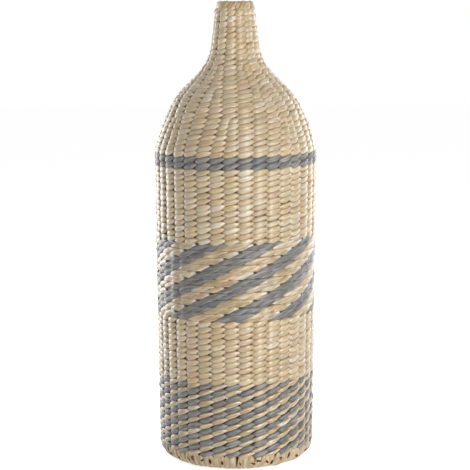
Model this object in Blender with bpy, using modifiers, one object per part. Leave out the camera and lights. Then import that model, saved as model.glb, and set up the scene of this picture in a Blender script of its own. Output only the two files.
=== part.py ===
"""Tall bottle-shaped fibre vase, twined in bands over cane stakes.

Metres, +Z up. The vase stands on the XY plane with its axis on Z. Angles are
measured round the axis from the front, which faces -Y, towards +X.
"""

import math
from bisect import bisect_right
from collections import namedtuple

import bmesh
import bpy
from mathutils import Vector

# Outline over the weave
FOOT_RADIUS = 0.1355
BODY_RADIUS = 0.1408
NECK_RADIUS = 0.0459
MOUTH_RADIUS = 0.0345
CORNER_RADIUS = 0.0300
FOOT_FLAT = 0.0040

# Heights of the zones, from the ground up
FOOT_BORDER_HEIGHT = 0.0260
LOWER_BAND_HEIGHT = 0.1290
LOWER_PLAIN_HEIGHT = 0.1090
MIDDLE_BAND_HEIGHT = 0.1320
UPPER_PLAIN_HEIGHT = 0.1264
GREY_BAND_HEIGHT = 0.0216
SHOULDER_HEIGHT = 0.1630
NECK_HEIGHT = 0.0780
RIM_HEIGHT = 0.0150

# Height of one row of weaving in each kind of work
STRIPE_PITCH = 0.0099
PLAIN_PITCH = 0.0098
WALE_PITCH = 0.0120
GREY_PITCH = 0.0108
NECK_PITCH = 0.0092

# Wall: a front strand, the stake behind it and what bulges between the stakes
FLOAT_RISE = 0.0020
STRAND_THICKNESS = 0.0065
WALL_THICKNESS = 0.0125
STAKE_DIAMETER = 0.0035
BASE_THICKNESS = 0.0125
RIM_ROUND = 0.0052

# Air between pieces that touch, and round a stake in its groove
CLEARANCE = 0.0003
STAKE_CLEARANCE = 0.0005

# Stakes stand in equal groups, and each group loses one at each decrease
GROUPS = 7
GROUP_STAKES = 5
FRONT_ANGLE = math.radians(2.0)
# Groups from the front round to where a row ends and the next one begins
SEAM_GROUPS = 3
# Least way from a band's edge to the middle of a float, as a share of a row
EDGE_SHARE = 0.5

# Shoulder: share of its height, share of the way from body to neck radius
SHOULDER_SHARES = (
    (0.14, 0.06),
    (0.33, 0.18),
    (0.53, 0.35),
    (0.62, 0.475),
    (0.72, 0.645),
    (0.81, 0.80),
    (0.91, 0.925),
)
# Neck: share of its height, share of the way from neck to mouth radius
NECK_SHARES = ((0.4, 0.5),)
# Where two stakes become one, as shares of the shoulder's height
DECREASE_SHARES = (0.39, 0.68, 0.92)
# Width of a closing column, and where the stake of a merged one starts in it
CLOSED_SHARE = 0.5
MERGED_SHARE = 0.25

# Fineness of the outline, of the foot's corner and of turned pieces
OUTLINE_STEP = 0.001
CORNER_STEPS = 5
STAKE_BEND_STEPS = 3
ROUND_STEPS = 3
RIM_SIDES = 28

# Colours as linear RGB, with roughness
NATURAL = ((0.61, 0.46, 0.27), 0.75)
GREY = ((0.205, 0.215, 0.222), 0.80)
CANE = ((0.42, 0.29, 0.16), 0.60)

BODY_HEIGHT = (
    FOOT_BORDER_HEIGHT
    + LOWER_BAND_HEIGHT
    + LOWER_PLAIN_HEIGHT
    + MIDDLE_BAND_HEIGHT
    + UPPER_PLAIN_HEIGHT
    + GREY_BAND_HEIGHT
)
NECK_TOP = BODY_HEIGHT + SHOULDER_HEIGHT + NECK_HEIGHT
HEIGHT = NECK_TOP + RIM_HEIGHT
STAKE_RADIUS = STAKE_DIAMETER / 2
GROOVE_DEPTH = WALL_THICKNESS - STRAND_THICKNESS
STAKES = GROUPS * GROUP_STAKES

Band = namedtuple(
    "Band", "name start end pitch members closing merged steps colours stripe"
)


def knots():
    """Heights and radii that the outline passes through above the foot's corner."""
    points = [(CORNER_RADIUS, FOOT_RADIUS), (BODY_HEIGHT, BODY_RADIUS)]
    for up, across in SHOULDER_SHARES:
        radius = BODY_RADIUS + across * (NECK_RADIUS - BODY_RADIUS)
        points.append((BODY_HEIGHT + up * SHOULDER_HEIGHT, radius))
    neck_start = BODY_HEIGHT + SHOULDER_HEIGHT
    points.append((neck_start, NECK_RADIUS))
    for up, across in NECK_SHARES:
        radius = NECK_RADIUS + across * (MOUTH_RADIUS - NECK_RADIUS)
        points.append((neck_start + up * NECK_HEIGHT, radius))
    points.append((NECK_TOP, MOUTH_RADIUS))
    return points


KNOTS = knots()


def knot_slope(i):
    """Slope of the outline at a knot, from the straight runs on its two sides."""
    runs = []
    for a, b in ((i - 1, i), (i, i + 1)):
        if a >= 0 and b < len(KNOTS):
            (z0, r0), (z1, r1) = KNOTS[a], KNOTS[b]
            runs.append(((r1 - r0) / (z1 - z0), z1 - z0))
    if len(runs) == 1:
        return runs[0][0]
    if i == 1:
        return runs[0][0]
    (s0, d0), (s1, d1) = runs
    return (s0 * d1 + s1 * d0) / (d0 + d1)


def outer_radius(z):
    """Radius over the weave at height z, above the foot's corner."""
    heights = [knot[0] for knot in KNOTS]
    i = min(max(bisect_right(heights, z) - 1, 0), len(KNOTS) - 2)
    (z0, r0), (z1, r1) = KNOTS[i], KNOTS[i + 1]
    run = z1 - z0
    t = (z - z0) / run
    m0, m1 = knot_slope(i) * run, knot_slope(i + 1) * run
    return (
        r0 * (2 * t**3 - 3 * t**2 + 1)
        + m0 * (t**3 - 2 * t**2 + t)
        + r1 * (3 * t**2 - 2 * t**3)
        + m1 * (t**3 - t**2)
    )


def outline():
    """Closely spaced (radius, z) points from under the foot up to the rim."""
    centre = FOOT_RADIUS - CORNER_RADIUS
    flat = max(1, round(FOOT_FLAT / OUTLINE_STEP))
    points = [(centre - FOOT_FLAT * (1 - i / flat), 0.0) for i in range(flat)]
    arc = max(4, round(CORNER_RADIUS * math.pi / 2 / OUTLINE_STEP))
    for i in range(arc):
        turn = math.pi / 2 * i / arc
        r = centre + CORNER_RADIUS * math.sin(turn)
        points.append((r, CORNER_RADIUS - CORNER_RADIUS * math.cos(turn)))
    rise = NECK_TOP - CORNER_RADIUS
    steps = round(rise / OUTLINE_STEP)
    for i in range(steps + 1):
        z = CORNER_RADIUS + rise * i / steps
        points.append((outer_radius(z), z))
    return points


OUTLINE = outline()
LENGTHS = [0.0]
for (r0, z0), (r1, z1) in zip(OUTLINE, OUTLINE[1:]):
    LENGTHS.append(LENGTHS[-1] + math.hypot(r1 - r0, z1 - z0))


def outline_at(length):
    """Outline point at a length along it, past its ends on the last straight."""
    i = min(max(bisect_right(LENGTHS, length) - 1, 0), len(OUTLINE) - 2)
    t = (length - LENGTHS[i]) / (LENGTHS[i + 1] - LENGTHS[i])
    (r0, z0), (r1, z1) = OUTLINE[i], OUTLINE[i + 1]
    return r0 + (r1 - r0) * t, z0 + (z1 - z0) * t


def length_at(z):
    """Length along the outline at height z."""
    heights = [point[1] for point in OUTLINE]
    i = min(max(bisect_right(heights, z) - 1, 0), len(OUTLINE) - 2)
    t = (z - heights[i]) / (heights[i + 1] - heights[i])
    return LENGTHS[i] + (LENGTHS[i + 1] - LENGTHS[i]) * t


def section(length, depth):
    """Radius and height of a point under the outline, square to it."""
    r, z = outline_at(length)
    r0, z0 = outline_at(length - OUTLINE_STEP)
    r1, z1 = outline_at(length + OUTLINE_STEP)
    run = math.hypot(r1 - r0, z1 - z0)
    return r - depth * (z1 - z0) / run, z + depth * (r1 - r0) / run


def place(length, depth, angle):
    """Point of the wall at a length along the outline, a depth and an angle."""
    r, z = section(length, depth)
    return Vector((r * math.sin(angle), -r * math.cos(angle), z))


def bands():
    """The woven bands, each from one length along the outline to the next."""
    everyone = tuple(range(GROUP_STAKES))
    natural, both = (NATURAL,), (NATURAL, GREY)
    z = FOOT_BORDER_HEIGHT
    found = []
    for name, height, pitch, colours, stripe in (
        ("lower_band", LOWER_BAND_HEIGHT, STRIPE_PITCH, both, 1),
        ("lower_plain", LOWER_PLAIN_HEIGHT, PLAIN_PITCH, natural, 0),
        ("middle_band", MIDDLE_BAND_HEIGHT, WALE_PITCH, both, 2),
        ("upper_plain", UPPER_PLAIN_HEIGHT, PLAIN_PITCH, natural, 0),
        ("grey_band", GREY_BAND_HEIGHT, GREY_PITCH, (GREY,), 0),
    ):
        start, end = length_at(z), length_at(z + height)
        found.append(
            Band(name, start, end, pitch, everyone, (), None, 1, colours, stripe)
        )
        z += height
    levels = [z + share * SHOULDER_HEIGHT for share in DECREASE_SHARES] + [NECK_TOP]
    # Members that stand in each part, the two that close up in it, the one that
    # starts it off centre as the survivor of the last two, its inner steps and
    # the height of its rows
    parts = (
        ("shoulder_lower", everyone, (3, 4), None, 2, PLAIN_PITCH),
        ("shoulder_middle", (0, 1, 2, 3), (1, 2), 3, 2, PLAIN_PITCH),
        ("shoulder_upper", (0, 1, 3), (0, 1), 1, 2, PLAIN_PITCH),
        ("neck", (0, 3), (), 0, 2, NECK_PITCH),
    )
    for (name, members, closing, merged, steps, pitch), top in zip(parts, levels):
        start, end = length_at(z), length_at(top)
        found.append(
            Band(
                name,
                start,
                end,
                pitch,
                members,
                closing,
                merged,
                steps,
                natural,
                0,
            )
        )
        z = top
    return found


def columns(band, t):
    """Angles of the column edges and of the stakes at share t of a band's height.

    Both lists run once round from the seam behind. Two columns that close up
    reach half their width at the band's top, where the next band carries them on
    as one.
    """
    narrow = 1 + (CLOSED_SHARE - 1) * t
    widths = [narrow if member in band.closing else 1 for member in band.members]
    group = 2 * math.pi / GROUPS
    seam = FRONT_ANGLE - group * SEAM_GROUPS
    edges, stakes = [], []
    for g in range(GROUPS):
        left = 0
        for member, width in zip(band.members, widths):
            seat = 1 / 2
            if member == band.merged:
                seat = MERGED_SHARE + (seat - MERGED_SHARE) * t
            edges.append(seam + group * (g + left / sum(widths)))
            middle = left + width * seat
            stakes.append(seam + group * (g + middle / sum(widths)))
            left += width
    return edges, stakes


def stake_depth(band, t, column):
    """Depth of a stake's axis where it seats in the V between two bulges."""
    edges, stands = columns(band, t)
    radius = section(band.start + (band.end - band.start) * t, STRAND_THICKNESS)[0]
    near = min(stands[column] - edges[column], edges[column + 1] - stands[column])
    half = radius * near
    slope = math.hypot(half, GROOVE_DEPTH) / half
    return STRAND_THICKNESS + (STAKE_RADIUS + STAKE_CLEARANCE) * slope


def material(name, look):
    """Principled material of a fibre, from its colour and roughness."""
    colour, roughness = look
    made = bpy.data.materials.new(name)
    made.use_nodes = True
    shader = made.node_tree.nodes["Principled BSDF"]
    shader.inputs["Base Color"].default_value = (*colour, 1)
    shader.inputs["Roughness"].default_value = roughness
    shader.inputs["Metallic"].default_value = 0
    made.diffuse_color = (*colour, 1)
    return made


def add(name, data, looks, collection, parent):
    """Names an object, gives it its materials and puts it under the vase's empty."""
    made = bpy.data.objects.new(name, data)
    for i, look in enumerate(looks):
        data.materials.append(material(f"{name}_{i}" if i else name, look))
    collection.objects.link(made)
    made.parent = parent
    return made


def woven_ring(band, collection, parent):
    """One band of twining as a closed ring.

    Outside, the rows wind up by one row in a turn, and every row crosses every
    stake with a raised float that slants up to the right. Inside, the strands
    bulge in between the stakes, which leaves a groove for each stake.
    """
    low, high = band.start + CLEARANCE / 2, band.end - CLEARANCE / 2
    rows = max(2, round((high - low) / band.pitch))
    ground = Vector((0, 0, section(band.start, 0)[1]))
    count = GROUPS * len(band.members)
    bm = bmesh.new()

    def ring(t, depth, angles):
        length = low + (high - low) * t
        return [bm.verts.new(place(length, depth, a) - ground) for a in angles]

    def edge_angles(t):
        edges = columns(band, t)[0]
        return edges + [edges[0] + 2 * math.pi]

    def spread(i, j):
        """Rows from the band's foot up to row i at column edge j."""
        return i + j / count

    foot, head = (ring(t, FLOAT_RISE, edge_angles(t)[:-1]) for t in (0, 1))
    dips = {}
    for j in range(count):
        for i in range(rows):
            rise = spread(i, j)
            if EDGE_SHARE <= rise < rows - EDGE_SHARE:
                angle = edge_angles(rise / rows)[j]
                dips[i, j] = ring(rise / rows, FLOAT_RISE, (angle,))[0]

    def dip(i, j):
        """Low point where floats meet at a column's edge, or the band's edge."""
        if j == count:
            i, j = i + 1, 0
        if spread(i, j) < EDGE_SHARE:
            return foot[j]
        return dips.get((i, j), head[j])

    def colour(i, j):
        return (i * count + j + 1) // band.stripe % len(band.colours)

    def face(corners, i, j):
        corners = list(dict.fromkeys(corners))
        if len(corners) > 2:
            made = bm.faces.new(corners)
            if band.stripe:
                made.material_index = colour(i, j)

    for j in range(count):
        middle = j + 1 / 2
        floats = [
            i
            for i in range(rows)
            if EDGE_SHARE <= spread(i, middle) < rows - EDGE_SHARE
        ]
        for i in floats:
            t = spread(i, middle) / rows
            left, right = edge_angles(t)[j : j + 2]
            peak = ring(t, 0, ((left + right) / 2,))[0]
            around = (dip(i - 1, j), dip(i, j + 1), dip(i + 1, j + 1), dip(i, j))
            for a, b in zip(around, around[1:] + around[:1]):
                face((a, b, peak), i, j)
        first, last = floats[0], floats[-1]
        rising = [dip(i, j + 1) for i in range(-1, first + 1)]
        falling = [dip(i, j) for i in range(first - 1, -2, -1)]
        face([foot[j]] + rising + falling, first - 1, j)
        rising = [dip(i, j + 1) for i in range(last + 1, rows + 1)]
        falling = [dip(i, j) for i in range(rows, last, -1)]
        face([dip(last, j)] + rising + falling, last + 1, j)

    inner = []
    for i in range(band.steps + 1):
        edges, stakes = columns(band, i / band.steps)
        bulges = ring(i / band.steps, WALL_THICKNESS, edges)
        grooves = ring(i / band.steps, STRAND_THICKNESS, stakes)
        inner.append((bulges, grooves))
    for (bulges, grooves), (over, above) in zip(inner, inner[1:]):
        for j in range(count):
            k = (j + 1) % count
            bm.faces.new((bulges[j], over[j], above[j], grooves[j]))
            bm.faces.new((grooves[j], above[j], over[k], bulges[k]))

    for outer, (bulges, grooves), turn in ((foot, inner[0], 1), (head, inner[-1], -1)):
        for j in range(count):
            k = (j + 1) % count
            for side in (
                (outer[j], grooves[j], outer[k]),
                (outer[j], bulges[j], grooves[j]),
                (outer[k], grooves[j], bulges[k]),
            ):
                bm.faces.new(side[::turn])

    mesh = bpy.data.meshes.new(band.name)
    bm.to_mesh(mesh)
    bm.free()
    mesh.shade_smooth()
    made = add(band.name, mesh, band.colours, collection, parent)
    made.location = ground
    return made


def turned(name, profile, sides, turn, look, collection, parent):
    """Closed (radius, z) profile turned about Z, with a corner at angle turn."""
    mesh = bpy.data.meshes.new(name)
    links = [(i, (i + 1) % len(profile)) for i in range(len(profile))]
    mesh.from_pydata([(r, 0, z) for r, z in profile], links, [])
    made = add(name, mesh, (look,), collection, parent)
    made.rotation_euler.z = turn - math.pi / 2
    screw = made.modifiers.new("turn", "SCREW")
    screw.steps = screw.render_steps = sides
    screw.use_merge_vertices = True
    screw.merge_threshold = CLEARANCE / 10
    screw.use_smooth_shade = True
    return made


def stake_line(all_bands, member):
    """Points of a stake's axis, from the base's edge to its end in the wall."""
    woven = [band for band in all_bands if member in band.members]
    foot = woven[0]
    column = foot.members.index(member)
    depth = stake_depth(foot, 0, column)
    angle = columns(foot, 0)[1][column]
    bend = (foot.start - FOOT_FLAT) / STAKE_BEND_STEPS
    points = [place(0, depth, angle)]
    for i in range(STAKE_BEND_STEPS + 1):
        points.append(place(FOOT_FLAT + bend * i, depth, angle))
    for band, following in zip(woven, woven[1:] + [None]):
        if band.steps == 1 and following and following.steps == 1:
            continue
        column = band.members.index(member)
        for i in range(1, band.steps + 1):
            t = i / band.steps
            length = band.start + (band.end - band.start) * t
            if t == 1 and not following:
                length -= CLEARANCE
            angle = columns(band, t)[1][column]
            points.append(place(length, stake_depth(band, t, column), angle))
    return points


def stakes(all_bands, collection, parent):
    """Cane stakes, alike in every group, so that each group turns the same five."""
    for member in range(GROUP_STAKES):
        points = stake_line(all_bands, member)
        curve = bpy.data.curves.new(f"stake_line_{member + 1}", "CURVE")
        curve.dimensions = "3D"
        curve.bevel_depth = STAKE_RADIUS
        curve.bevel_resolution = 0
        curve.use_fill_caps = True
        spline = curve.splines.new("POLY")
        spline.points.add(len(points) - 1)
        for spot, point in zip(spline.points, points):
            spot.co = (*point, 1)
        curve.materials.append(material(f"stake_{member + 1}", CANE))
        for group in range(GROUPS):
            name = f"stake_{group * GROUP_STAKES + member + 1:02d}"
            made = bpy.data.objects.new(name, curve)
            collection.objects.link(made)
            made.parent = parent
            made.rotation_euler.z = 2 * math.pi / GROUPS * group


def foot_border(first, collection, parent):
    """The wall's front strands, turned in under the corner to the base's edge."""
    top = first.start - CLEARANCE / 2
    step = (top - FOOT_FLAT) / CORNER_STEPS
    marks = [0] + [FOOT_FLAT + step * i for i in range(CORNER_STEPS + 1)]
    skin = [section(mark, 0) for mark in reversed(marks)]
    lining = [section(mark, STRAND_THICKNESS) for mark in marks]
    turn = columns(first, 0)[1][0]
    turned(
        "foot_border", skin + lining, STAKES, turn, NATURAL, collection, parent
    )


def base_mat(first, collection, parent):
    """Round mat that fills the ring which the stakes spring from."""
    radius = FOOT_RADIUS - CORNER_RADIUS - FOOT_FLAT - CLEARANCE
    bm = bmesh.new()
    bmesh.ops.create_cone(
        bm,
        cap_ends=True,
        segments=STAKES,
        radius1=radius,
        radius2=radius,
        depth=BASE_THICKNESS,
    )
    mesh = bpy.data.meshes.new("base_mat")
    bm.to_mesh(mesh)
    bm.free()
    made = add("base_mat", mesh, (NATURAL,), collection, parent)
    made.location.z = BASE_THICKNESS / 2
    made.rotation_euler.z = columns(first, 0)[1][0] + math.pi


def rim_border(last, collection, parent):
    """Roll that caps the stakes and the neck's last row."""
    foot = NECK_TOP + CLEARANCE / 2
    inside = MOUTH_RADIUS - WALL_THICKNESS
    profile = [(inside, foot)]
    for centre, first_turn in ((inside + RIM_ROUND, 2), (MOUTH_RADIUS - RIM_ROUND, 1)):
        for i in range(ROUND_STEPS + 1):
            lean = math.pi / 2 * (first_turn - i / ROUND_STEPS)
            r = centre + RIM_ROUND * math.cos(lean)
            profile.append((r, HEIGHT - RIM_ROUND + RIM_ROUND * math.sin(lean)))
    profile.append((MOUTH_RADIUS, foot))
    turn = columns(last, 1)[1][0]
    turned("rim_border", profile, RIM_SIDES, turn, NATURAL, collection, parent)


def main():
    for old in list(bpy.data.objects):
        bpy.data.objects.remove(old, do_unlink=True)
    collection = bpy.data.collections.new("fibre_vase")
    bpy.context.scene.collection.children.link(collection)
    vase = bpy.data.objects.new("vase_axis", None)
    collection.objects.link(vase)

    all_bands = bands()
    for band in all_bands:
        woven_ring(band, collection, vase)

    foot_border(all_bands[0], collection, vase)
    base_mat(all_bands[0], collection, vase)
    rim_border(all_bands[-1], collection, vase)
    stakes(all_bands, collection, vase)


main()
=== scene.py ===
import math

import bpy
import numpy as np
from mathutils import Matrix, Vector

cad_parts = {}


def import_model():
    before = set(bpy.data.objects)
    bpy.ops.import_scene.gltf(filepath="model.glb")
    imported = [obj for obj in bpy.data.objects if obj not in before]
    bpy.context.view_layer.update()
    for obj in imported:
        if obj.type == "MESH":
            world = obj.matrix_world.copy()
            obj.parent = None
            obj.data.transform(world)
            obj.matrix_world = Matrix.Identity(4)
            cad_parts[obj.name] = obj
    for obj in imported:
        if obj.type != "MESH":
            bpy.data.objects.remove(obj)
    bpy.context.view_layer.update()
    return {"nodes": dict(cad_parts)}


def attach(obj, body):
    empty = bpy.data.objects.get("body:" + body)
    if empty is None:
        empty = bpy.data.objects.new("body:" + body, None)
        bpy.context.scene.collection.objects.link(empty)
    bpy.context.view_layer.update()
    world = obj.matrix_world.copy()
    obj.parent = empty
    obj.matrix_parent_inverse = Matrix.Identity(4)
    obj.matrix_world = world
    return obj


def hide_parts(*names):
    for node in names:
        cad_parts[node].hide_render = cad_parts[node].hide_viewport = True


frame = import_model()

# Outline and zones of the wall, as in the model. Lengths are in metres
FOOT_RADIUS, BODY_RADIUS, NECK_RADIUS, MOUTH_RADIUS = 0.1355, 0.1408, 0.0459, 0.0345
CORNER_RADIUS, FOOT_FLAT = 0.0300, 0.0040
LOWER_BAND, LOWER_PLAIN, MIDDLE_BAND = 0.1290, 0.1090, 0.1320
UPPER_PLAIN, GREY_BAND = 0.1264, 0.0216
FOOT_TOP = 0.0260
LOWER_TOP = FOOT_TOP + LOWER_BAND
PLAIN_TOP = LOWER_TOP + LOWER_PLAIN
MIDDLE_TOP = PLAIN_TOP + MIDDLE_BAND
UPPER_TOP = MIDDLE_TOP + UPPER_PLAIN
BODY_HEIGHT = UPPER_TOP + GREY_BAND
SHOULDER_HEIGHT, NECK_HEIGHT, RIM_HEIGHT = 0.1630, 0.0780, 0.0150
NECK_TOP = BODY_HEIGHT + SHOULDER_HEIGHT + NECK_HEIGHT
HEIGHT = NECK_TOP + RIM_HEIGHT
SHOULDER_SHARES = (
    (0.14, 0.06), (0.33, 0.18), (0.53, 0.35), (0.62, 0.475), (0.72, 0.645),
    (0.81, 0.80), (0.91, 0.925),
)
NECK_SHARES = ((0.4, 0.5),)
DECREASES = [BODY_HEIGHT + share * SHOULDER_HEIGHT for share in (0.39, 0.68, 0.92)]
GROUPS = 7
FRONT_ANGLE = math.radians(2.0)
# Columns are counted from the back left
SEAM_ANGLE = FRONT_ANGLE + 4 * 2 * math.pi / GROUPS - 2 * math.pi

# The outline's tables: their step, their points on the corner and under the foot, where
# they begin beside the axis, and two more points past the neck
TABLE_STEP, ARC_POINTS, FLAT_POINTS, AXIS_GAP = 0.0005, 60, 200, 0.002
PAST_NECK = ((MOUTH_RADIUS - 0.001, NECK_TOP), (MOUTH_RADIUS - 0.0022, NECK_TOP + 0.008))


# The wall's outline as tables over its length

def outline_tables():
    knots = [(CORNER_RADIUS, FOOT_RADIUS), (BODY_HEIGHT, BODY_RADIUS)]
    for up, across in SHOULDER_SHARES:
        knots.append((BODY_HEIGHT + up * SHOULDER_HEIGHT,
                      BODY_RADIUS + across * (NECK_RADIUS - BODY_RADIUS)))
    start = BODY_HEIGHT + SHOULDER_HEIGHT
    knots.append((start, NECK_RADIUS))
    for up, across in NECK_SHARES:
        knots.append((start + up * NECK_HEIGHT,
                      NECK_RADIUS + across * (MOUTH_RADIUS - NECK_RADIUS)))
    knots.append((NECK_TOP, MOUTH_RADIUS))
    kz, kr = np.array(knots).T
    gap = np.diff(kz)
    run = np.diff(kr) / gap
    slope = np.empty(len(kz))
    slope[0], slope[1], slope[-1] = run[0], run[0], run[-1]
    slope[2:-1] = (run[1:-1] * gap[2:] + run[2:] * gap[1:-1]) / (gap[1:-1] + gap[2:])
    z = np.arange(CORNER_RADIUS, NECK_TOP, TABLE_STEP)
    i = np.clip(np.searchsorted(kz, z, side="right") - 1, 0, len(kz) - 2)
    t = (z - kz[i]) / gap[i]
    r = (kr[i] * (2 * t**3 - 3 * t**2 + 1) + slope[i] * gap[i] * (t**3 - 2 * t**2 + t)
         + kr[i + 1] * (3 * t**2 - 2 * t**3) + slope[i + 1] * gap[i] * (t**3 - t**2))
    turn = np.linspace(0, math.pi / 2, ARC_POINTS, endpoint=False)
    arc_r = FOOT_RADIUS - CORNER_RADIUS + CORNER_RADIUS * np.sin(turn)
    arc_z = CORNER_RADIUS - CORNER_RADIUS * np.cos(turn)
    # A flat run under the foot, from the axis outwards, comes before length zero
    flat_r = np.linspace(AXIS_GAP, FOOT_RADIUS - CORNER_RADIUS, FLAT_POINTS,
                         endpoint=False)
    past_r, past_z = zip(*PAST_NECK)
    r = np.concatenate([flat_r, arc_r, r, past_r])
    z = np.concatenate([np.zeros_like(flat_r), arc_z, z, past_z])
    length = np.concatenate([[0], np.cumsum(np.hypot(np.diff(r), np.diff(z)))])
    length -= np.interp(FOOT_RADIUS - CORNER_RADIUS - FOOT_FLAT,
                        r[:FLAT_POINTS], length[:FLAT_POINTS])
    dr, dz = np.gradient(r, length), np.gradient(z, length)
    size = np.hypot(dr, dz)
    return length, r, z, dr / size, dz / size


LENGTH, RAD, HGT, DR, DZ = outline_tables()


def length_at(z):
    """Length along the outline at height z, above the flat run."""
    k = np.searchsorted(HGT, 1e-6)
    return float(np.interp(z, HGT[k - 1:], LENGTH[k - 1:]))


def smooth(x):
    x = np.clip(x, 0, 1)
    return x * x * (3 - 2 * x)


def after(x, at, over):
    """Nothing up to a place, and from there up to 1 over a stretch."""
    return smooth((x - at) / over)


def before(x, at, over):
    """Nothing from a place on, and below it up to 1 over a stretch."""
    return smooth((at - x) / over)


def unit(vectors):
    return vectors / np.linalg.norm(vectors, axis=1)[:, None]


def square_to(tangent, vectors):
    """Unit vectors in the direction of vectors, at right angles to the tangent."""
    return unit(vectors - tangent * np.sum(vectors * tangent, 1)[:, None])


def tilted(side, face, tilt):
    return (side * math.cos(tilt) + face * math.sin(tilt),
            face * math.cos(tilt) - side * math.sin(tilt))


def around(r, z, angle):
    """Points or directions at an angle round the axis, from the front to the right."""
    return np.stack(np.broadcast_arrays(r * np.sin(angle), -r * np.cos(angle), z), -1)


def run_length(points):
    step = np.linalg.norm(np.diff(points, axis=0), axis=1)
    return np.concatenate([[0], np.cumsum(step)])


def frame_at(angle, s, depth):
    """Points of the wall at a length and depth, with its outward and upward directions."""
    r, z, dr, dz = (np.interp(s, LENGTH, table) for table in (RAD, HGT, DR, DZ))
    out, up = around(dz, -dr, angle), around(dr, dz, angle)
    return around(r, z, angle) - out * np.asarray(depth)[..., None], out, up


class Zone:
    """A run of rows between two lengths, with its columns of stakes.

    Each group has members columns, and those in closing narrow to half up to its top.
    """

    def __init__(self, name, low, high, rows, members=5, closing=(), seed=1):
        self.name, self.low, self.high, self.rows = name, low, high, rows
        self.members, self.closing = members, closing
        self.count = GROUPS * members
        self.pitch = (high - low) / rows
        self.rng = np.random.default_rng(seed)

    def angle(self, c, s):
        """Angle at column coordinate c, a whole number at each column's edge."""
        t = np.clip((s - self.low) / (self.high - self.low), 0, 1)
        widths = [1 - 0.5 * t if m in self.closing else np.ones_like(t)
                  for m in range(self.members)]
        group, local = np.floor(c / self.members), np.mod(c, self.members)
        left = np.zeros_like(t)
        for m, width in enumerate(widths):
            left = left + width * np.clip(local - m, 0, 1)
        return SEAM_ANGLE + 2 * math.pi / GROUPS * (group + left / sum(widths))

    def wound(self, c, rows):
        """Length at column coordinate c, rows above a line that climbs a row in a turn."""
        return self.low + self.pitch * c / self.count + rows * self.pitch


# Meshes of swept strands

class Strands:
    """Collects swept tubes and makes one mesh of them."""

    def __init__(self, name):
        self.name = name
        self.verts, self.quads, self.caps = [], [], []
        self.uv, self.tone, self.hue, self.mat = [], [], [], []
        self.count = 0

    def tube(self, centre, side, face, half, thick, tone, hue, along, material,
             sides=10, power=0.92):
        """Sweeps a flattened section: half is half its height and thick half its depth."""
        n = len(centre)
        side, face = (np.broadcast_to(v, (n, 3)) for v in (side, face))
        half, thick, tone, hue = (np.broadcast_to(v, n) for v in (half, thick, tone, hue))
        a = np.linspace(0, 2 * math.pi, sides, endpoint=False) + math.pi / sides
        ca, sa = np.cos(a), np.sin(a)
        x = np.sign(ca) * np.abs(ca) ** power
        y = np.sign(sa) * np.abs(sa) ** power
        ring = (centre[:, None]
                + side[:, None] * (half[:, None] * x)[..., None]
                + face[:, None] * (thick[:, None] * y)[..., None])
        base = self.count
        self.verts.append(ring.reshape(-1, 3))
        i = np.arange(n - 1)[:, None] * sides
        j = np.arange(sides)[None]
        k = (j + 1) % sides
        quads = np.stack([i + j, i + sides + j, i + sides + k, i + k], -1) + base
        self.quads.append(quads.reshape(-1, 4))
        # Each quad's corners: along the strand in metres, and once round its section
        u0, u1 = along[:-1, None], along[1:, None]
        v0, v1 = j / sides, j / sides + 1 / sides
        corners = [np.stack(np.broadcast_arrays(u, v), -1)
                   for u, v in ((u0, v0), (u1, v0), (u1, v1), (u0, v1))]
        self.uv.append(np.stack(corners, 2).reshape(-1, 2))
        self.tone.append(np.repeat(tone, sides))
        self.hue.append(np.repeat(hue, sides))
        self.mat.append(np.full((n - 1) * sides, material))
        self.caps.append((base + np.arange(sides)[::-1], material))
        self.caps.append((base + (n - 1) * sides + np.arange(sides), material))
        self.count += n * sides

    def make(self, materials):
        verts = np.concatenate(self.verts)
        quads = np.concatenate(self.quads)
        mesh = bpy.data.meshes.new(self.name)
        cap_len = [len(c) for c, _ in self.caps]
        loops = np.concatenate([quads.reshape(-1)] + [c for c, _ in self.caps])
        mesh.vertices.add(len(verts))
        mesh.vertices.foreach_set("co", verts.astype(np.float32).reshape(-1))
        mesh.loops.add(len(loops))
        mesh.loops.foreach_set("vertex_index", loops.astype(np.int32))
        mesh.polygons.add(len(quads) + len(cap_len))
        starts = np.concatenate([np.arange(len(quads)) * 4,
                                 len(quads) * 4 + np.cumsum([0] + cap_len[:-1])])
        mesh.polygons.foreach_set("loop_start", starts.astype(np.int32))
        index = np.concatenate([np.concatenate(self.mat), [m for _, m in self.caps]])
        mesh.polygons.foreach_set("material_index", index.astype(np.int32))
        mesh.update(calc_edges=True)
        layer = mesh.uv_layers.new(name="Strand")
        uv = np.zeros((len(loops), 2), np.float32)
        flat = np.concatenate(self.uv)
        uv[:len(flat)] = flat
        layer.data.foreach_set("uv", uv.reshape(-1))
        for name, values in (("tone", self.tone), ("hue", self.hue)):
            attribute = mesh.attributes.new(name, "FLOAT", "POINT")
            attribute.data.foreach_set("value",
                                       np.concatenate(values).astype(np.float32))
        mesh.validate()
        mesh.shade_smooth()
        for material in materials:
            mesh.materials.append(material)
        made = bpy.data.objects.new(self.name, mesh)
        bpy.context.scene.collection.objects.link(made)
        return made


GRAIN_RUN = 3


def sweep(strands, zone, c, s, depth, half, thick, tone, hue, material, sides=10,
          power=0.92):
    """Sweeps a strand round the wall, through a zone's column and length coordinates."""
    centre, _, up = frame_at(zone.angle(c, s), s, depth)
    tangent = unit(np.gradient(centre, axis=0))
    side = square_to(tangent, up)
    along = run_length(centre) + zone.rng.random() * GRAIN_RUN
    strands.tube(centre, side, np.cross(tangent, side), half, thick, tone, hue, along,
                 material, sides, power)


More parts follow.
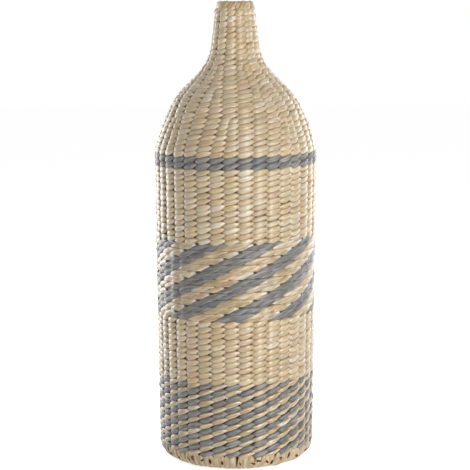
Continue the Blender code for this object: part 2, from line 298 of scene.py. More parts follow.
def lay(strands, zone, c, s, depth, half, thick, tone, hue, material, tilt):
    """Lays a flat strand up or down the wall, with its broad side outwards."""
    centre, out, _ = frame_at(zone.angle(c, s), s, depth)
    tangent = unit(np.gradient(centre, axis=0))
    face = square_to(tangent, out)
    side, face = tilted(np.cross(face, tangent), face, tilt)
    along = run_length(centre) + zone.rng.random() * GRAIN_RUN
    strands.tube(centre, side, face, half, thick, tone, hue, along, material)


def profile(u, table):
    xs, ys = zip(*table)
    return np.interp(u, xs, ys)


# Twining: each strand goes before some stakes and behind as many, in turn. A place on a
# float counts columns from the left edge of its first one, and a style says:
#   span, strands     how many stakes a float goes before, and strands in a set
#   rise, straight    half its climb in rows, and how much of it is even, not S-shaped
#   front, back       its depth before the stakes, and the strand's behind them
#   height, thick     half its height in rows, and half its depth in metres
#   reach, points     how far it goes past its last column, and its points
#   width, own_width  its height from place to place, and other ones for a colour
#   stout             its height by colour
#   heads, dive, lap  how deep its left end and its first half lie, and how high its tip
#   crown             how much deeper both ends lie than the middle
#   tip_highlight, tips how much lighter its tip is painted, as a highlight, and how much of
#   it is the tip
#   inner_tips        the painted highlight's share where the next strand has the same colour
#   dusk, ends        by colour, up to where its left end has painted shade, and from where its tip has it
#   vary, shade       spread of the tone, and its shift by colour
#   power             how square its section is, from 1 for an ellipse down

# Natural and grey strands
N, G = 0, 1

PLAIN = dict(
    span=1, strands=2, rise=0.25, front=0.0024, back=0.0146, thick=0.0030, reach=0.14,
    points=13,
    width=((-0.22, 0.26), (-0.05, 0.50), (0.08, 0.80), (0.22, 0.97), (0.5, 1.0),
           (0.72, 0.88), (0.87, 0.64), (0.98, 0.40), (1.07, 0.22), (1.14, 0.08)),
    height=0.62, dive=0.0, lap=0.0, heads=0.0014, crown=0.0021, tip_highlight=0.24, tips=0.35,
    straight=0.5, dusk={N: 0.0, G: 0.04}, vary=0.15, shade={}, power=0.80,
)
SHOULDER = dict(PLAIN, rise=0.28, crown=0.0020, dusk={N: 0.02})
STRIPE = dict(
    PLAIN, rise=0.36, front=0.0029, thick=0.0035, reach=0.24, points=14,
    stout={N: 0.84, G: 0.91}, heads=0.0042, crown=0.0018, tip_highlight=0.62, tips=0.28,
    dusk={N: 0.02, G: 0.18}, straight=0.7, vary=0.18, shade={N: -0.10, G: 0.20},
    power=0.88,
    width=((-0.22, 0.34), (0.0, 0.60), (0.18, 0.92), (0.4, 1.0), (0.65, 0.94),
           (0.85, 0.78), (1.0, 0.60), (1.12, 0.40), (1.24, 0.14)),
    own_width={G: ((-0.22, 0.24), (0.0, 0.38), (0.14, 0.58), (0.3, 0.94), (0.45, 1.0),
                   (0.7, 0.98), (0.9, 0.78), (1.05, 0.50), (1.15, 0.30), (1.24, 0.10))},
)
WALE = dict(
    span=2, strands=4, rise=0.54, front=0.0031, back=0.0150, thick=0.0036, reach=0.30,
    points=21,
    width=((-0.22, 0.30), (0.0, 0.44), (0.2, 0.78), (0.5, 0.98), (1.2, 1.0),
           (1.45, 0.92), (1.65, 0.74), (1.80, 0.52), (1.90, 0.37), (2.03, 0.34),
           (2.16, 0.31), (2.30, 0.10)),
    own_width={G: ((-0.22, 0.20), (0.0, 0.30), (0.16, 0.46), (0.34, 0.88), (0.5, 1.0),
                   (1.1, 0.98), (1.4, 0.84), (1.7, 0.58), (1.95, 0.30), (2.24, 0.06))},
    height=0.60, dive=0.0026, lap=0.0021, heads=0.0040, crown=0.0006, tip_highlight=1.35,
    tips=0.27, inner_tips=0.25, ends={N: 1.92},
    straight=0.6, dusk={N: 0.06, G: 0.36}, vary=0.24, shade={N: -0.32, G: -0.08},
    power=0.85,
)
BASE = dict(PLAIN, rise=0.24, height=0.58, thick=0.0024, front=0.0027, back=0.0095,
            heads=0.0020, crown=0.0006)
ROPE = dict(PLAIN, rise=0.30, height=0.60, thick=0.0042, front=0.0034, power=0.92,
            shade={G: 0.16})

# How much floats differ: in place, rows and depth, and in height and thickness as shares
PLACE_VARY, ROW_VARY, DEPTH_VARY = 0.012, 0.045, 0.0003
HEIGHT_VARY, THICK_VARY = 0.07, 0.06
MIDDLE_TONE, DARKEST, LIGHTEST = 0.5, 0.05, 1.1
FLOAT_START = -0.20
# Stretches of a float, each as the place where it ends or begins, and its length. The
# tail counts from the float's end and the lap from its last column's edge
# The third stretch is where a float's head gets painted shade
HEAD, DIVE, HEAD_SHADE_STRETCH = (0.18, 0.28), (1.0, 0.9), (0.22, 0.3)
TAIL, LAP = (-0.11, 0.14), (-0.45, 0.40)
# Fades of the painted shade at a float's left end and at its tip
DUSK_FADE, END_FADE = 0.14, 0.05
# How deep the tail dives, and how much painted shade darkens a float's head
TAIL_DIVE, HEAD_SHADE = 0.0044, 0.20
# A float is a little thinner where it is narrow
THIN_SHARE = 0.62
# Behind the stakes: places by span, half-height in rows, half-thickness, and a tone below
# nothing that gives painted shade
BACK_PLACES = {1: (0.26, 0.5, 0.74), 2: (0.3, 0.75, 1.25, 1.7)}
BACK_HEIGHT, BACK_THICK, BACK_TONE = 0.40, 0.0019, -1.5


def twine(strands, zone, style, colours, materials, phase=0):
    """Twines a zone. colours gives the colour of each strand in turn."""
    span, ways, reach = style["span"], style["strands"], style["reach"]
    total = int(round(zone.rows * zone.count))
    pitch, rng = zone.pitch, zone.rng
    front_u = np.linspace(FLOAT_START, span + reach, style["points"])
    back_u = np.array(BACK_PLACES[span])
    for w in range(ways):
        colour = colours[(w + phase) % len(colours)]
        beside = colours[(w + phase + 1) % len(colours)]
        shape = style.get("own_width", {}).get(colour, style["width"])
        stout = style["height"] * pitch * style.get("stout", {}).get(colour, 1)
        # The tip's painted highlight is weaker beside a strand of the same colour
        tip_highlight = style["tip_highlight"] * (style.get("inner_tips", 1) if beside == colour else 1)
        runs = []
        for start in range(w, total, ways):
            u = front_u + rng.normal(0, PLACE_VARY)
            share = np.clip(u, 0, span) / span
            bow, line = -np.cos(math.pi * share), 2 * share - 1
            rows = style["rise"] * (bow + style["straight"] * (line - bow))
            rows = rows + rng.normal(0, ROW_VARY)
            # The left end comes up from under its neighbour, the right one lies on it
            depth = (style["front"] + rng.normal(0, DEPTH_VARY)
                     + style["heads"] * before(u, *HEAD)
                     + TAIL_DIVE * after(u, span + reach + TAIL[0], TAIL[1])
                     + style["dive"] * before(u, *DIVE)
                     - style["lap"] * after(u, span + LAP[0], LAP[1])
                     + style["crown"] * line ** 2)
            wide = profile(u, shape)
            half = wide * (stout * (1 + rng.normal(0, HEIGHT_VARY)))
            thick = style["thick"] * (1 + rng.normal(0, THICK_VARY))
            thick = thick * (THIN_SHARE + (1 - THIN_SHARE) * wide)
            tone = rng.normal(MIDDLE_TONE, style["vary"]) + style["shade"].get(colour, 0)
            tone = np.clip(tone, DARKEST, LIGHTEST)
            hue = rng.random()
            # Tips get a painted highlight. Heads get painted shade, and darker painted
            # shade where they go under
            white = after(share, 1 - style["tips"], style["tips"])
            dark = before(u, style["dusk"][colour], DUSK_FADE)
            end = 0
            # A tip that goes into a hole beside another colour gets painted shade from its
            # end on
            if colour in style.get("ends", {}) and beside != colour:
                end = after(u, style["ends"][colour], END_FADE)
                dark = np.maximum(dark, end)
            # The tone takes the painted tip highlight and the painted shade on the head
            tone = np.maximum(tone + tip_highlight * white - HEAD_SHADE * before(u, *HEAD_SHADE_STRETCH), 0)
            tone = tone * (1 - dark) - dark - end
            c = start + u
            runs.append((c, zone.wound(c, rows), depth, half, thick, tone, hue))
            # Behind the stakes the strand gets a tone below nothing: painted shade
            if start + ways < total:
                c = start + span + back_u
                rows = style["rise"] * np.cos(math.pi * back_u / span)
                runs.append((c, zone.wound(c, rows), style["back"], BACK_HEIGHT * pitch,
                             BACK_THICK, BACK_TONE, hue))
        runs = [[np.broadcast_to(value, run[0].shape) for value in run] for run in runs]
        sweep(strands, zone, *map(np.concatenate, zip(*runs)), materials[colour],
              power=style["power"])


# Materials

class Tree:
    """A tree of shader nodes, to which nodes are added with their inputs and settings."""

    def __init__(self, owner):
        owner.use_nodes = True
        self.nodes, self.links = owner.node_tree.nodes, owner.node_tree.links

    def put(self, socket, value):
        """Links a socket to another, or sets it to a number, colour or vector."""
        if isinstance(value, bpy.types.NodeSocket):
            self.links.new(value, socket)
        else:
            socket.default_value = value

    def add(self, kind, inputs, **settings):
        node = self.nodes.new("ShaderNode" + kind)
        for name, value in settings.items():
            setattr(node, name, value)
        for name, value in inputs.items():
            self.put(node.inputs[name], value)
        return node.outputs

    def ramp(self, factor, stops):
        node = self.nodes.new("ShaderNodeValToRGB")
        self.put(node.inputs["Fac"], factor)
        elements = node.color_ramp.elements
        while len(elements) < len(stops):
            elements.new(0.5)
        for element, (spot, colour) in zip(elements, stops):
            element.position = spot
            element.color = (*colour, 1)
        return node.outputs["Color"]

    def multiply(self, base, colour, factor):
        """Multiplies base by a colour where factor is 1."""
        return self.add("Mix", {"A": base, "B": (*colour, 1), "Factor": factor},
                        data_type="RGBA", blend_type="MULTIPLY")["Result"]

    def spread(self, value, low, high, to_low=0.0, to_high=1.0, **settings):
        """Takes the range from low to high to the one from to_low to to_high."""
        return self.add("MapRange", {"Value": value, "From Min": low, "From Max": high,
                                     "To Min": to_low, "To Max": to_high},
                        **settings)["Result"]


def new_material(name):
    made = bpy.data.materials.new(name)
    tree = Tree(made)
    return made, tree, tree.nodes["Principled BSDF"].inputs


# Noise along a strand: scale along it and round its section, detail and roughness. Then
# the range of it that is used, and how much patches change the tone
STREAKS, BROAD_PATCHES, RIBS = (26, 34, 4.0, 0.7), (20, 5, 2.0, 0.6), (40, 11, 1.0, 0.6)
STREAK_RANGE, RIB_RANGE, PATCHES = (0.30, 0.70), (0.35, 0.65), 0.9
# Colours of painted shade: where a strand goes under, where an end goes into a hole, and in
# a crease
UNDER_SHADE, HOLE_SHADE, CREASE_SHADE = (0.24, 0.155, 0.085), (0.16, 0.22, 0.36), (0.70, 0.58, 0.45)
# Where round its section a strand is clear of the painted crease shade: the middle, and how
# far from it the shade begins and is full. It lies to one side, so that the upper edge gets
# more painted shade
CLEAR_MIDDLE, CREASE_BEGINS, CREASE_FULL = 0.30, 0.13, 0.25
# Roughness of the sheen, its spread over the streaks, and what is added where shade is
# painted
SHEEN_ROUGHNESS, ROUGHNESS_VARY, SHADE_ROUGHNESS = 0.30, 0.06, 0.45
FIBRE_BUMP, FIBRE_BUMP_DEPTH = 0.40, 0.0006


def fibre(name, ramp, streaks, roughness, spec=0.35, sheen=0.0, hue_ramp=None,
          hue_share=0.45, crease_shade=CREASE_SHADE, ribs=(1.0, 1.0)):
    """Dry plant fibre: streaks along the strand over a tone of its own."""
    made, tree, shader = new_material(name)
    tree.put(shader["Specular IOR Level"], spec)
    tree.put(shader["Sheen Weight"], sheen)
    tree.put(shader["Sheen Roughness"], SHEEN_ROUGHNESS)

    uv = tree.add("UVMap", {}, uv_map="Strand")["UV"]
    tone = tree.add("Attribute", {}, attribute_name="tone")["Fac"]
    hue = tree.add("Attribute", {}, attribute_name="hue")["Fac"]

    def noise(along, across, detail, rough):
        place = tree.add("Mapping", {"Scale": (along, across, 1), "Vector": uv})["Vector"]
        return tree.add("TexNoise", {"Scale": 1.0, "Detail": detail, "Roughness": rough,
                                     "Vector": place})["Fac"]

    streak, broad, rib = noise(*STREAKS), noise(*BROAD_PATCHES), noise(*RIBS)

    # Tone of the float, with broad patches along the strand
    offset = tree.add("Math", {0: tone, 1: -PATCHES / 2}, operation="ADD")[0]
    patchy = tree.add("Math", {0: broad, 1: PATCHES, 2: offset},
                      operation="MULTIPLY_ADD")[0]
    base = tree.ramp(patchy, ramp)

    if hue_ramp:
        second = tree.ramp(hue, hue_ramp)
        base = tree.add("Mix", {"A": base, "B": second, "Factor": hue_share},
                        data_type="RGBA", blend_type="MIX")["Result"]

    # Where a strand goes under, its tone is below nothing and it gets painted shade
    under = tree.spread(tone, 0.0, -1.0)
    base = tree.multiply(base, UNDER_SHADE, under)
    # An end that goes into a hole is darker still, with more painted shade
    inside = tree.spread(tone, -1.0, -2.0)
    base = tree.multiply(base, HOLE_SHADE, inside)
    # The upper edge of a strand, which lies in a crease, gets painted shade
    parts = tree.add("SeparateXYZ", {"Vector": uv})
    away = tree.add("Math", {0: parts["Y"], 1: CLEAR_MIDDLE}, operation="SUBTRACT")[0]
    apart = tree.add("Math", {0: away}, operation="ABSOLUTE")[0]
    edge = tree.spread(apart, CREASE_BEGINS, CREASE_FULL, interpolation_type="SMOOTHSTEP")
    base = tree.multiply(base, crease_shade, edge)

    # Fine fibres, darker and lighter than the tone
    fine = tree.spread(streak, *STREAK_RANGE, *streaks)
    ribbed = tree.spread(rib, *RIB_RANGE, *ribs)
    both = tree.add("Math", {0: fine, 1: ribbed}, operation="MULTIPLY")[0]
    scaled = tree.add("VectorMath", {0: base, "Scale": both}, operation="SCALE")
    tree.put(shader["Base Color"], scaled["Vector"])

    # Streaks are matt and glossy in turn, and where shade is painted the strand is matt
    rough = tree.spread(streak, *STREAK_RANGE, roughness - ROUGHNESS_VARY,
                        roughness + ROUGHNESS_VARY)
    matt = tree.add("Math", {0: under, 1: SHADE_ROUGHNESS, 2: rough},
                    operation="MULTIPLY_ADD")[0]
    tree.put(shader["Roughness"], matt)
    bump = tree.add("Bump", {"Strength": FIBRE_BUMP, "Distance": FIBRE_BUMP_DEPTH,
                             "Height": streak})
    tree.put(shader["Normal"], bump["Normal"])
    return made


NATURAL_RAMP = (
    (0.0, (0.40, 0.250, 0.118)), (0.35, (0.60, 0.435, 0.247)), (0.65, (0.72, 0.570, 0.368)),
    (0.88, (0.86, 0.755, 0.588)), (1.0, (0.97, 0.920, 0.850)),
)
NATURAL_HUES = (
    (0.0, (0.74, 0.53, 0.36)), (0.35, (0.70, 0.55, 0.265)), (0.7, (0.74, 0.64, 0.475)),
    (1.0, (0.60, 0.52, 0.285)),
)
GREY_RAMP = (
    (0.0, (0.110, 0.107, 0.102)), (0.4, (0.178, 0.173, 0.164)),
    (0.7, (0.235, 0.229, 0.216)), (1.0, (0.35, 0.342, 0.322)),
)
GREY_HUES = ((0.0, (0.143, 0.163, 0.190)), (0.5, (0.192, 0.187, 0.164)),
             (1.0, (0.196, 0.172, 0.178)))
# The cut ends' darkest stop is painted shade for the holes they sit in
CUT_RAMP = ((0.0, (0.030, 0.016, 0.008)), (0.5, (0.12, 0.060, 0.026)),
            (1.0, (0.40, 0.23, 0.10)))
NATURAL = fibre("natural_fibre", NATURAL_RAMP, streaks=(0.75, 1.03), roughness=0.30,
                spec=0.90, sheen=0.95, hue_ramp=NATURAL_HUES, ribs=(0.88, 1.10))
NATURAL_SOFT = fibre("natural_fibre_in_borders", NATURAL_RAMP, streaks=(0.74, 1.14),
                     roughness=0.42, spec=0.9, sheen=0.6, hue_ramp=NATURAL_HUES,
                     crease_shade=(0.72, 0.62, 0.50), ribs=(0.74, 1.16))
NATURAL_BAND = fibre("natural_fibre_in_bands", NATURAL_RAMP, streaks=(0.66, 1.16),
                     roughness=0.31, spec=0.85, sheen=0.9, hue_ramp=NATURAL_HUES,
                     crease_shade=(0.58, 0.47, 0.36), ribs=(0.66, 1.18))
GREY = fibre("grey_fibre", GREY_RAMP, streaks=(0.60, 1.46), roughness=0.46, spec=0.60,
             sheen=0.55, hue_ramp=GREY_HUES, hue_share=0.50, crease_shade=(0.70, 0.64, 0.58),
             ribs=(0.58, 1.34))
CUT_END = fibre("cut_ends", CUT_RAMP, streaks=(0.7, 1.3), roughness=0.75, spec=0.2)

FIBRES = [NATURAL, GREY, NATURAL_BAND, NATURAL_SOFT]
NATURAL_SLOT, GREY_SLOT, BAND_SLOT, BORDER_SLOT = range(len(FIBRES))

CANE_SPECULAR, CANE_ROUGHNESS = 0.35, (0.5, 0.8)
CANE_GRAIN, CANE_DETAIL = (900, 900, 14), 3.0
CANE_RAMP = ((0.3, (0.22, 0.125, 0.055)), (0.7, (0.46, 0.32, 0.17)))
CANE_BUMP, CANE_BUMP_DEPTH = 0.4, 0.0004


def cane_material():
    made, tree, shader = new_material("cane_stake")
    tree.put(shader["Specular IOR Level"], CANE_SPECULAR)
    place = tree.nodes.new("ShaderNodeTexCoord").outputs["Object"]
    place = tree.add("Mapping", {"Scale": CANE_GRAIN, "Vector": place})["Vector"]
    noise = tree.add("TexNoise", {"Scale": 1.0, "Detail": CANE_DETAIL,
                                  "Vector": place})["Fac"]
    tree.put(shader["Base Color"], tree.ramp(noise, CANE_RAMP))
    bump = tree.add("Bump", {"Strength": CANE_BUMP, "Distance": CANE_BUMP_DEPTH,
                             "Height": noise})
    tree.put(shader["Normal"], bump["Normal"])
    tree.put(shader["Roughness"], tree.spread(noise, 0.0, 1.0, *CANE_ROUGHNESS))
    return made


# The woven zones

BODY_TOP_LEN = length_at(BODY_HEIGHT)
LEVELS = [length_at(z) for z in DECREASES] + [length_at(NECK_TOP)]

ZONES = [
    (Zone("lower_band", length_at(FOOT_TOP), length_at(LOWER_TOP), rows=13, seed=11),
     STRIPE, (N, G), 1),
    (Zone("lower_plain", length_at(LOWER_TOP), length_at(PLAIN_TOP), rows=11, seed=12),
     PLAIN, (N,), 0),
    (Zone("middle_band", length_at(PLAIN_TOP), length_at(MIDDLE_TOP), rows=11, seed=13),
     WALE, (G, G, N, N), 3),
    (Zone("upper_plain", length_at(MIDDLE_TOP), length_at(UPPER_TOP), rows=13, seed=14),
     PLAIN, (N,), 0),
    (Zone("grey_band", length_at(UPPER_TOP), BODY_TOP_LEN, rows=2, seed=15),
     ROPE, (G,), 0),
    (Zone("shoulder_lower", BODY_TOP_LEN, LEVELS[0], rows=7, members=5, closing=(3, 4),
          seed=16), SHOULDER, (N,), 0),
    (Zone("shoulder_middle", LEVELS[0], LEVELS[1], rows=6, members=4, closing=(1, 2),
          seed=17), SHOULDER, (N,), 0),
    (Zone("shoulder_upper", LEVELS[1], LEVELS[2], rows=5, members=3, closing=(0, 1),
          seed=18), SHOULDER, (N,), 0),
    (Zone("neck", LEVELS[2], LEVELS[3], rows=10, members=2, seed=19),
     SHOULDER, (N,), 0),
]

for zone, style, colours, phase in ZONES:
    strands = Strands(zone.name + "_weave")
    twine(strands, zone, style, colours,
          {N: BAND_SLOT if G in colours else NATURAL_SLOT, G: GREY_SLOT}, phase)
    piece = strands.make(FIBRES)
    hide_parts(zone.name)
    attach(piece, "root")


# Foot border: strands folded down over the corner and under it, side by side, with the
# ends of the stakes showing through them

FOOT_LOW, FOLD_TOP = -0.0030, FOOT_TOP + 0.0030
FOLDS, FOLD_POINTS = 84, 18
FOLD_DEPTH, FOLD_HALF, FOLD_THICK = 0.0024, 0.0061, 0.0021
# How much deeper the upper and the lower end of a fold lie, and how much narrower they
# are, each with its stretch as a place and a length
UPPER_DIVE, LOWER_DIVE = (0.0010, 0.06, 0.06), (0.0016, 0.93, 0.07)
UPPER_TAPER, LOWER_TAPER = (0.65, 0.10, 0.10), (0.30, 0.3, 0.7)
# Spread of its top, place, depth and width, and mean and spread of lean, tone and tilt
TOP_VARY, FOLD_PLACE_VARY, FOLD_DEPTH_VARY, FOLD_WIDTH_VARY = 0.0010, 0.12, 0.0003, 0.10
FOLD_LEAN, FOLD_TONE, FOLD_TILT = (0.15, 0.25), (0.44, 0.14), (0.10, 0.06)

foot_zone = Zone("foot_border", FOOT_LOW, length_at(FOOT_TOP), rows=5, seed=10)
strands = Strands("foot_border_weave")
rng = foot_zone.rng
fold_top = length_at(FOLD_TOP)
share = np.linspace(0, 1, FOLD_POINTS)
for k in range(FOLDS):
    top = fold_top + rng.normal(0, TOP_VARY)
    lean = rng.normal(*FOLD_LEAN)
    place = (k + rng.normal(0, FOLD_PLACE_VARY)) * foot_zone.count / FOLDS
    c = place + lean * (0.5 - share)
    depth = (FOLD_DEPTH + rng.normal(0, FOLD_DEPTH_VARY)
             + LOWER_DIVE[0] * after(share, *LOWER_DIVE[1:])
             + UPPER_DIVE[0] * before(share, *UPPER_DIVE[1:]))
    half = (FOLD_HALF * (1 + rng.normal(0, FOLD_WIDTH_VARY))
            * (1 - LOWER_TAPER[0] * after(share, *LOWER_TAPER[1:]))
            * (1 - UPPER_TAPER[0] * before(share, *UPPER_TAPER[1:])))
    tone = np.clip(rng.normal(*FOLD_TONE), DARKEST, 1)
    lay(strands, foot_zone, c, top + (FOOT_LOW - top) * share, depth, half, FOLD_THICK,
        tone, rng.random(), BORDER_SLOT, rng.normal(*FOLD_TILT))
piece = strands.make(FIBRES)
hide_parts("foot_border")
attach(piece, "root")

# Cut ends of the stakes: the share of columns that show two and how far apart they are,
# mean and spread of their place and height, spread of their lean, least and added size
TWO_ENDS, END_GAP = 0.35, 0.30
END_PLACE, END_HEIGHT, END_LEAN = (0.10, 0.14), (0.0165, 0.0030), 0.75
END_SIZE, END_GROWTH, END_LONG, END_WIDE = 0.0018, 0.0012, 1.7, 0.80
# An end is a pale rim, and a smaller dark core that stands a little prouder and is painted
# shade for the hole it sits in: size, lift and tone of each
END_LAYERS, END_TONE_VARY = ((1.35, 0.0, 0.9), (1.0, -0.00025, 0.0)), 0.2
# Depths, sizes and lengths along it, from inside to its rounded end
END_DEPTHS = np.array([0.0060, 0.0030, 0.0006, 0.0002, 0.0])
END_TAPER = np.array([1.0, 1.0, 1.0, 0.86, 0.4])
END_ALONG = np.array([0, 0.003, 0.006, 0.0064, 0.0066])

rng = np.random.default_rng(41)
strands = Strands("cut_stake_ends")
for column in range(foot_zone.count):
    for member in range(2 if rng.random() < TWO_ENDS else 1):
        c = column + rng.normal(*END_PLACE) + END_GAP * member
        s_end = length_at(rng.normal(*END_HEIGHT))
        lean = rng.normal(0, END_LEAN)
        size = END_SIZE + END_GROWTH * rng.random()
        for grow, lift, tone in END_LAYERS:
            centre, out, up = frame_at(foot_zone.angle(c, s_end), s_end,
                                       END_DEPTHS + lift)
            side = up * math.cos(lean) + np.cross(out, up) * math.sin(lean)
            taper = grow * END_TAPER
            strands.tube(centre, side, np.cross(out, side), size * END_LONG * taper,
                         size * END_WIDE * taper, tone + END_TONE_VARY * rng.random(),
                         rng.random(), END_ALONG, 0, sides=7)
piece = strands.make([CUT_END])
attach(piece, "root")


# Base: a round mat, twined in rings over radial stakes, round a coiled start

# From and to which length each ring goes, its rows and its columns in a group
BASE_RINGS = ((-0.0985, -0.0760, 2.4, 1), (-0.0770, -0.0450, 3.4, 2),
              (-0.0460, -0.0010, 4.7, 4))
HUB_LOW, HUB_HIGH, HUB_START = -0.106, -0.098, -0.1075
HUB_PITCH, HUB_TURNS, HUB_POINTS = 0.0050, 2.2, 60
HUB_DEPTH, HUB_HALF, HUB_THICK, HUB_HUE = 0.0034, 0.0028, 0.0026, 0.5

strands = Strands("base_weave")
for low, high, rows, members in BASE_RINGS:
    ring = Zone("base", low, high, rows, members, seed=30 + members)
    twine(strands, ring, BASE, (N,), {N: NATURAL_SLOT})
turns = np.linspace(0, HUB_TURNS, HUB_POINTS)
hub = Zone("hub", HUB_LOW, HUB_HIGH, rows=1, members=1, seed=39)
sweep(strands, hub, turns * GROUPS, HUB_START + HUB_PITCH * turns, HUB_DEPTH, HUB_HALF,
      HUB_THICK, MIDDLE_TONE, HUB_HUE, NATURAL_SLOT, sides=8)
piece = strands.make(FIBRES)
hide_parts("base_mat")
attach(piece, "root")


# Rim border: strands laid over the edge one after another, from outside to inside

RIM_WALL = 0.0125
# How far the wraps' middle lines stay inside the rim: within, without, above and below
RIM_INNER, RIM_OUTER, RIM_UPPER, RIM_LOWER = 0.0026, 0.0042, 0.0022, 0.0032
OUTER_DROP, INNER_DROP = 0.0078, 0.0055
TUCK_IN, TUCK_DOWN, INNER_DOWN = 0.0012, 0.0014, 0.0040
ARCH_STEPS = 12


def rim_section():
    """Radii and heights of a wrap, from its tucked outer end over an arch to the inside."""
    inner, outer = MOUTH_RADIUS - RIM_WALL + RIM_INNER, MOUTH_RADIUS - RIM_OUTER
    low, top = NECK_TOP + RIM_LOWER, HEIGHT - RIM_UPPER
    middle, half = (inner + outer) / 2, (outer - inner) / 2
    points = [(outer - TUCK_IN, low - TUCK_DOWN), (outer, low), (outer, top - OUTER_DROP)]
    for k in range(1, ARCH_STEPS):
        a = k / ARCH_STEPS * math.pi
        drop = OUTER_DROP if 2 * k < ARCH_STEPS else INNER_DROP
        points.append((middle + half * math.cos(a), top - drop + drop * math.sin(a)))
    points += [(inner, top - INNER_DROP), (inner, low - INNER_DOWN)]
    return np.array(points)


def resample(points, count):
    length = run_length(points)
    at = np.linspace(0, length[-1], count)
    return np.interp(at, length, points[:, 0]), np.interp(at, length, points[:, 1]), at


WRAPS, WRAP_POINTS = 26, 26
# Where a wrap begins and ends round the rim, in radians from its place
WRAP_FROM, WRAP_TO = -0.16, 0.46
# Half its width as a share of the room that it has, half its thickness, and how much
# narrower it begins, with that stretch
WRAP_WIDTH, WRAP_THICK, WRAP_TAPER = 0.72, 0.0019, (0.35, 0.10, 0.10)
# Spread of its place, angle, lift and width, and mean and spread of its tone and tilt
WRAP_PLACE_VARY, WRAP_ANGLE_VARY, LIFT_VARY, WRAP_WIDTH_VARY = 0.06, 0.02, 0.0004, 0.10
WRAP_TONE, WRAP_TILT = (0.36, 0.14), (0.10, 0.07)
RIM_ROW = 0.0080
HOOP_RADIUS, HOOP_HALF, HOOP_POINTS = MOUTH_RADIUS - 0.0066, 0.0028, 90
HOOP_HEIGHTS, HOOP_TONE, HOOP_HUE = (NECK_TOP + 0.0035, NECK_TOP + 0.0080), 0.35, 0.5

strands = Strands("rim_wrap")
r, z, along = resample(rim_section(), WRAP_POINTS)
slope_r, slope_z = np.gradient(r, along), np.gradient(z, along)
size = np.hypot(slope_r, slope_z)
out_r, out_z = slope_z / size, -slope_r / size
share = np.linspace(0, 1, WRAP_POINTS)
rng = np.random.default_rng(52)
for k in range(WRAPS):
    turn = 2 * math.pi * (k + rng.normal(0, WRAP_PLACE_VARY)) / WRAPS
    turn = turn + np.linspace(WRAP_FROM, WRAP_TO, WRAP_POINTS)
    angle = turn + rng.normal(0, WRAP_ANGLE_VARY)
    lift = np.sin(math.pi * share) * rng.normal(0, LIFT_VARY)
    rr, zz = r + out_r * lift, z + out_z * lift
    centre, out = around(rr, zz, angle), around(out_r, out_z, angle)
    tangent = unit(np.gradient(centre, axis=0))
    side = unit(np.cross(out, tangent))
    half = WRAP_WIDTH * 2 * math.pi * rr / WRAPS * (1 + rng.normal(0, WRAP_WIDTH_VARY))
    half *= 1 - WRAP_TAPER[0] * before(share, *WRAP_TAPER[1:])
    # Each wrap leans a little on the next, like laid shingles
    side, face = tilted(side, np.cross(tangent, side), rng.normal(*WRAP_TILT))
    tone = np.clip(rng.normal(*WRAP_TONE), DARKEST, 1)
    strands.tube(centre, side, face, half, WRAP_THICK, tone, rng.random(),
                 along + rng.random(), BORDER_SLOT)
# One more row of twining lies under the wraps
row = Zone("rim_row", length_at(NECK_TOP), length_at(NECK_TOP) + RIM_ROW, rows=1,
           members=2, seed=20)
twine(strands, row, SHOULDER, (N,), {N: BORDER_SLOT})
# and two hoops of strand fill the ring
turn = np.linspace(0, 2 * math.pi, HOOP_POINTS)
for height in HOOP_HEIGHTS:
    strands.tube(around(HOOP_RADIUS, height, turn), (0, 0, 1), around(1, 0, turn),
                 HOOP_HALF, HOOP_HALF, HOOP_TONE, HOOP_HUE, HOOP_RADIUS * turn,
                 NATURAL_SLOT, sides=8)
piece = strands.make(FIBRES)
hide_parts("rim_border")
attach(piece, "root")

# Stakes keep their model nodes and get a grained cane finish
CANE = cane_material()
for node, made in frame["nodes"].items():
    if node.startswith("stake"):
        made.data.materials.clear()
        made.data.materials.append(CANE)


# Stage: a pale floor and world, white where the camera, gloss or glass sees them

FLOOR_SIZE, FLOOR_PLACE = 14, (0, 2, -0.0008)
FLOOR_COLOUR, FLOOR_ROUGHNESS, FLOOR_WHITE = (0.9, 0.9, 0.9, 1), 0.9, 0.75
AMBIENT = 0.265
WHITE = (1, 1, 1, 1)
# Name, place, target, size, power in watts and spread in degrees
LAMPS = (
    ("key", (1.50, -2.67, 0.92), (0, 0, 0.42), (0.7, 1.5), 36.3, 180),
    ("neck_key", (0.30, -1.00, 1.25), (0, 0, 0.71), (0.15, 0.15), 0.085, 36),
    ("low_key", (0.40, -0.76, 0.22), (0, 0, 0.17), (0.06, 0.40), 1.28, 180),
    ("back_left", (-1.76, 1.80, 0.42), (0, 0, 0.22), (2.5, 1.7), 36, 180),
    ("low_left", (-0.90, 0.58, 0.26), (0, 0, 0.20), (0.90, 0.60), 3.2, 180),
    ("back_right", (1.72, 1.66, 0.44), (0, 0, 0.24), (2.1, 1.7), 35, 180),
)


def seen_rays(tree):
    """1 for rays from the camera, from gloss and through glass."""
    light = tree.nodes.new("ShaderNodeLightPath").outputs
    seen = light["Is Camera Ray"]
    for other in ("Is Glossy Ray", "Is Transmission Ray"):
        seen = tree.add("Math", {0: seen, 1: light[other]}, operation="MAXIMUM")[0]
    return seen


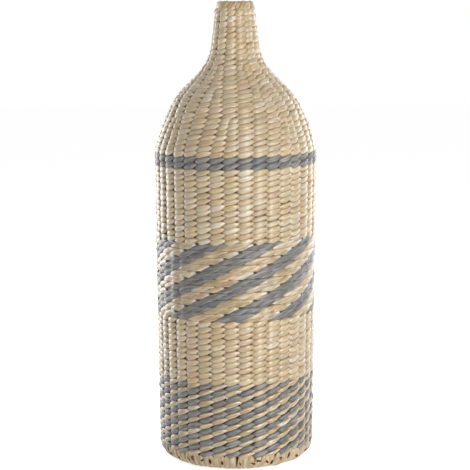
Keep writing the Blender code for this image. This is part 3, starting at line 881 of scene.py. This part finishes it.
def stage():
    bpy.ops.mesh.primitive_plane_add(size=FLOOR_SIZE, location=FLOOR_PLACE)
    floor = bpy.context.object
    floor.name = "floor"
    made, tree, shader = new_material("floor")
    tree.put(shader["Base Color"], FLOOR_COLOUR)
    tree.put(shader["Roughness"], FLOOR_ROUGHNESS)
    tree.put(shader["Specular IOR Level"], 0.0)
    level = tree.add("Math", {0: seen_rays(tree), 1: FLOOR_WHITE}, operation="MULTIPLY")[0]
    white = tree.add("Emission", {"Color": WHITE, "Strength": level})["Emission"]
    both = tree.add("AddShader", {0: tree.nodes["Principled BSDF"].outputs["BSDF"],
                                  1: white})["Shader"]
    tree.put(tree.nodes["Material Output"].inputs["Surface"], both)
    floor.data.materials.append(made)

    world = bpy.data.worlds.new("studio")
    tree = Tree(world)
    bpy.context.scene.world = world
    background = tree.nodes["Background"].inputs
    tree.put(background["Color"], WHITE)
    tree.put(background["Strength"], tree.spread(seen_rays(tree), 0.0, 1.0, AMBIENT, 1.0))

    for name, place, target, (width, height), power, spread in LAMPS:
        data = bpy.data.lights.new(name, "AREA")
        data.shape = "RECTANGLE"
        data.size, data.size_y = width, height
        data.energy = power
        data.spread = math.radians(spread)
        lamp = bpy.data.objects.new(name, data)
        lamp.location = place
        aim = Vector(target) - Vector(place)
        lamp.rotation_euler = aim.to_track_quat("-Z", "Y").to_euler()
        bpy.context.scene.collection.objects.link(lamp)


stage()

# Camera at the photograph's viewing angle: focal length and image in pixels, film width
# in millimetres, place in metres, and degrees that it looks down and leans
FOCAL_PX, IMAGE_PX, FILM = 1666.8, 470, 36.0
CAMERA_PLACE, CAMERA_DOWN, CAMERA_ROLL = (0, -2.9, 0.82), 8.39, 0.18
camera = bpy.data.objects.new("camera", bpy.data.cameras.new("camera"))
camera.data.sensor_width = FILM
camera.data.lens = FOCAL_PX / IMAGE_PX * FILM
camera.location = CAMERA_PLACE
camera.rotation_euler = (math.radians(90 - CAMERA_DOWN), math.radians(CAMERA_ROLL), 0)
bpy.context.scene.collection.objects.link(camera)
bpy.context.scene.camera = camera
bpy.context.scene.view_settings.view_transform = "Standard"
